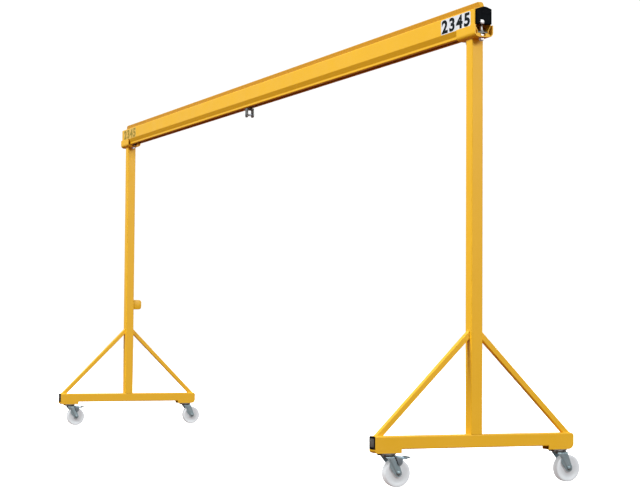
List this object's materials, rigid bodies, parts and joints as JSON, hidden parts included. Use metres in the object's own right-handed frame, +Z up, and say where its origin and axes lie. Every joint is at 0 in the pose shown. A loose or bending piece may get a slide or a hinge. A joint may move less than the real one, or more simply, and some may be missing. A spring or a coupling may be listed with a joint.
{
  "type": "gantry crane",
  "caption": "Light wheeled gantry crane: a C-section rail on two braced legs with swivel casters and a trolley that runs inside the rail.",
  "frame": {"origin": "on the floor, midway between the two columns in the plane of the rail; the wheels trail to +Y, so the box reaches further that way", "axes": "+X along the rail to the right leg, +Y from front to back along the base tubes, +Z up"},
  "size_m": [6.49, 1.266, 2.618],
  "materials": {
    "yellow_paint": "powder coat, semi gloss",
    "black_plastic": "moulded",
    "zinc_steel": "zinc plated",
    "nylon_wheel": "moulded nylon",
    "dark_steel": "dark grey paint",
    "rubber_buffer": "matt"
  },
  "bodies": {
    "frame": {"rail_beam": "yellow_paint", "cable_cleat": "yellow_paint", "rail_end_cap_right": "black_plastic", "rail_stop_right": "rubber_buffer", "saddle_right": "yellow_paint", "rail_bolts_right": "zinc_steel", "column_right": "yellow_paint", "base_tube_right": "yellow_paint", "base_cap_right": "black_plastic", "caster_pads_right": "yellow_paint", "brace_right_front": "yellow_paint", "caster_plate_right_front": "zinc_steel", "brace_right_back": "yellow_paint", "caster_plate_right_back": "zinc_steel", "rail_end_cap_left": "black_plastic", "rail_stop_left": "rubber_buffer", "saddle_left": "yellow_paint", "rail_bolts_left": "zinc_steel", "column_left": "yellow_paint", "base_tube_left": "yellow_paint", "base_cap_left": "black_plastic", "caster_pads_left": "yellow_paint", "brace_left_front": "yellow_paint", "caster_plate_left_front": "zinc_steel", "brace_left_back": "yellow_paint", "caster_plate_left_back": "zinc_steel"},
    "swivel_right_front": {"caster_fork_right_front": "zinc_steel", "caster_axle_right_front": "zinc_steel", "pedal_pin_right": "zinc_steel"},
    "wheel_right_front": {"caster_wheel_right_front": "nylon_wheel"},
    "pedal_right": {"caster_pedal_right_front": "zinc_steel"},
    "swivel_right_back": {"caster_fork_right_back": "zinc_steel", "caster_axle_right_back": "zinc_steel"},
    "wheel_right_back": {"caster_wheel_right_back": "nylon_wheel"},
    "swivel_left_front": {"caster_fork_left_front": "zinc_steel", "caster_axle_left_front": "zinc_steel", "pedal_pin_left": "zinc_steel"},
    "wheel_left_front": {"caster_wheel_left_front": "nylon_wheel"},
    "pedal_left": {"caster_pedal_left_front": "zinc_steel"},
    "swivel_left_back": {"caster_fork_left_back": "zinc_steel", "caster_axle_left_back": "zinc_steel"},
    "wheel_left_back": {"caster_wheel_left_back": "nylon_wheel"},
    "trolley": {"trolley_carriage": "dark_steel", "trolley_rollers": "zinc_steel", "trolley_hanger": "dark_steel"}
  },
  "joints": [
    {"name": "caster_swivel_right_front", "type": "hinge", "parent": "frame", "child": "swivel_right_front", "pos_m": [3.125, -0.525, 0.166], "axis": [0, 0, 1], "continuous": true},
    {"name": "wheel_roll_right_front", "type": "hinge", "parent": "swivel_right_front", "child": "wheel_right_front", "pos_m": [3.125, -0.468, 0.075], "axis": [1, 0, 0], "continuous": true},
    {"name": "brake_pedal_right", "type": "hinge", "parent": "swivel_right_front", "child": "pedal_right", "pos_m": [3.125, -0.482, 0.1617], "axis": [1, 0, 0], "range_deg": [-10, 0]},
    {"name": "caster_swivel_right_back", "type": "hinge", "parent": "frame", "child": "swivel_right_back", "pos_m": [3.125, 0.525, 0.166], "axis": [0, 0, 1], "continuous": true},
    {"name": "wheel_roll_right_back", "type": "hinge", "parent": "swivel_right_back", "child": "wheel_right_back", "pos_m": [3.125, 0.582, 0.075], "axis": [1, 0, 0], "continuous": true},
    {"name": "caster_swivel_left_front", "type": "hinge", "parent": "frame", "child": "swivel_left_front", "pos_m": [-3.125, -0.525, 0.166], "axis": [0, 0, 1], "continuous": true},
    {"name": "wheel_roll_left_front", "type": "hinge", "parent": "swivel_left_front", "child": "wheel_left_front", "pos_m": [-3.125, -0.468, 0.075], "axis": [1, 0, 0], "continuous": true},
    {"name": "brake_pedal_left", "type": "hinge", "parent": "swivel_left_front", "child": "pedal_left", "pos_m": [-3.125, -0.482, 0.1617], "axis": [1, 0, 0], "range_deg": [-10, 0]},
    {"name": "caster_swivel_left_back", "type": "hinge", "parent": "frame", "child": "swivel_left_back", "pos_m": [-3.125, 0.525, 0.166], "axis": [0, 0, 1], "continuous": true},
    {"name": "wheel_roll_left_back", "type": "hinge", "parent": "swivel_left_back", "child": "wheel_left_back", "pos_m": [-3.125, 0.582, 0.075], "axis": [1, 0, 0], "continuous": true},
    {"name": "trolley_travel", "type": "slide", "parent": "frame", "child": "trolley", "axis": [1, 0, 0], "range_m": [-2.561, 3.074]}
  ]
}
